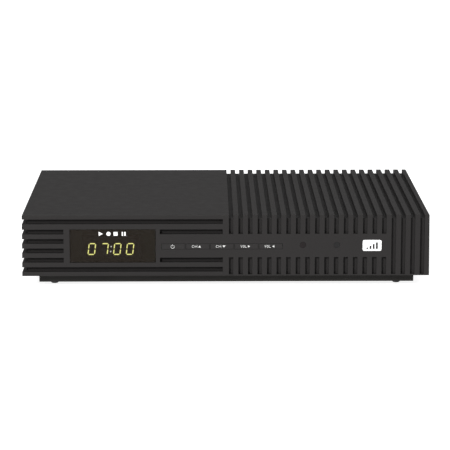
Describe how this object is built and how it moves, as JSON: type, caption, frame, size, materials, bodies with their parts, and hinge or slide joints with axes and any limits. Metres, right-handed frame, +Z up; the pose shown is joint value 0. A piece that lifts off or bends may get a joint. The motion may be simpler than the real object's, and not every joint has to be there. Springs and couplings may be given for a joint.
{
  "type": "set-top video recorder",
  "caption": "Set-top video recorder in a ribbed black case, with a clock display behind a smoked window, sprung front keys, rear sockets and a disc drive.",
  "frame": {"origin": "on the surface the feet stand on, under the centre of the whole recorder's plan, aerial sockets included", "axes": "+X to the right seen from the front, the front faces -Y, +Z up"},
  "size_m": [0.256, 0.165, 0.048],
  "materials": {
    "shell_plastic": "fine matt moulding",
    "key_plastic": "fine matt moulding",
    "tray_plastic": "matt moulding",
    "panel_paint": "fine texture powder coat on sheet steel",
    "rubber": "matt",
    "smoked_lens": "smoked, polished",
    "ir_plastic": "dark red, polished",
    "pipe_plastic": "smoked clear",
    "plunger_plastic": "moulded",
    "switch_plastic": "moulded",
    "board_laminate": "green solder mask",
    "module_plastic": "moulded, black face",
    "digit_light": "lit yellow-green",
    "chip_plastic": "moulded epoxy",
    "lamp_plastic": "diffused clear epoxy",
    "ribbon_plastic": "white flat cable and plugs",
    "fin_aluminium": "extruded, clear anodised",
    "can_steel": "tin-plated sheet",
    "cell_steel": "nickel plated",
    "socket_plastic": "moulded",
    "capacitor_sleeve": "dark sleeve",
    "plated_brass": "nickel-plated brass",
    "plated_steel": "bright nickel plate",
    "flap_plastic": "moulded",
    "rocker_plastic": "satin moulding",
    "cast_aluminium": "die cast",
    "cover_steel": "brushed",
    "platter_metal": "polished disc",
    "cable_plastic": "flat data cable",
    "black_screw": "black zinc"
  },
  "bodies": {
    "chassis": {"top_shell": "shell_plastic", "base_tray": "tray_plastic", "rear_panel": "panel_paint", "foot_front_left": "rubber", "foot_front_right": "rubber", "foot_rear_left": "rubber", "foot_rear_right": "rubber", "display_window": "smoked_lens", "ir_window": "ir_plastic", "light_pipe": "pipe_plastic", "switch_power": "switch_plastic", "switch_channel_up": "switch_plastic", "switch_channel_down": "switch_plastic", "switch_volume_up": "switch_plastic", "switch_volume_down": "switch_plastic", "front_board": "board_laminate", "main_board": "board_laminate", "drive_board": "board_laminate", "display_module": "module_plastic", "display_segments": "digit_light", "ir_receiver": "chip_plastic", "processor": "chip_plastic", "memory_chips": "chip_plastic", "inductors": "chip_plastic", "status_lamp": "lamp_plastic", "front_ribbon": "ribbon_plastic", "heatsink": "fin_aluminium", "tuner_can": "can_steel", "drive_bracket": "can_steel", "clock_cell": "cell_steel", "cell_holder": "socket_plastic", "optical_socket": "socket_plastic", "power_inlet": "socket_plastic", "rocker_housing": "socket_plastic", "capacitors": "capacitor_sleeve", "aerial_socket_in": "plated_brass", "aerial_socket_out": "plated_brass", "socket_nuts": "plated_steel", "hdmi_socket": "plated_steel", "ethernet_socket": "plated_steel", "usb_socket": "plated_steel", "machine_screws": "plated_steel", "drive_casting": "cast_aluminium", "drive_cover": "cover_steel", "drive_cable": "cable_plastic", "case_screws": "black_screw"},
    "power_key": {"key_power": "key_plastic", "plunger_power": "plunger_plastic"},
    "channel_up_key": {"key_channel_up": "key_plastic", "plunger_channel_up": "plunger_plastic"},
    "channel_down_key": {"key_channel_down": "key_plastic", "plunger_channel_down": "plunger_plastic"},
    "volume_up_key": {"key_volume_up": "key_plastic", "plunger_volume_up": "plunger_plastic"},
    "volume_down_key": {"key_volume_down": "key_plastic", "plunger_volume_down": "plunger_plastic"},
    "flap": {"optical_flap": "flap_plastic"},
    "rocker": {"power_rocker": "rocker_plastic"},
    "platter": {"drive_platter": "platter_metal"},
    "head_arm": {"drive_arm": "cast_aluminium"}
  },
  "joints": [
    {"name": "power_press", "type": "slide", "parent": "chassis", "child": "power_key", "axis": [0, 1, 0], "range_m": [0, 0.0005], "stiffness_N_per_m": 1500, "springref_m": -0.0001},
    {"name": "channel_up_press", "type": "slide", "parent": "chassis", "child": "channel_up_key", "axis": [0, 1, 0], "range_m": [0, 0.0005], "stiffness_N_per_m": 1500, "springref_m": -0.0001},
    {"name": "channel_down_press", "type": "slide", "parent": "chassis", "child": "channel_down_key", "axis": [0, 1, 0], "range_m": [0, 0.0005], "stiffness_N_per_m": 1500, "springref_m": -0.0001},
    {"name": "volume_up_press", "type": "slide", "parent": "chassis", "child": "volume_up_key", "axis": [0, 1, 0], "range_m": [0, 0.0005], "stiffness_N_per_m": 1500, "springref_m": -0.0001},
    {"name": "volume_down_press", "type": "slide", "parent": "chassis", "child": "volume_down_key", "axis": [0, 1, 0], "range_m": [0, 0.0005], "stiffness_N_per_m": 1500, "springref_m": -0.0001},
    {"name": "flap_hinge", "type": "hinge", "parent": "chassis", "child": "flap", "pos_m": [0.055, 0.0723, 0.0206], "axis": [-1, 0, 0], "range_deg": [0, 80], "stiffness_Nm_per_rad": 0.002, "springref_deg": -17.19},
    {"name": "rocker_hinge", "type": "hinge", "parent": "chassis", "child": "rocker", "pos_m": [-0.036, 0.0695, 0.026], "axis": [1, 0, 0], "range_deg": [-18, 0]},
    {"name": "platter_spin", "type": "hinge", "parent": "chassis", "child": "platter", "pos_m": [-0.071, 0.0203, 0.0146], "axis": [0, 0, 1], "continuous": true},
    {"name": "arm_swing", "type": "hinge", "parent": "chassis", "child": "head_arm", "pos_m": [-0.089, -0.0162, 0.0154], "axis": [0, 0, 1], "range_deg": [0, 36]}
  ]
}
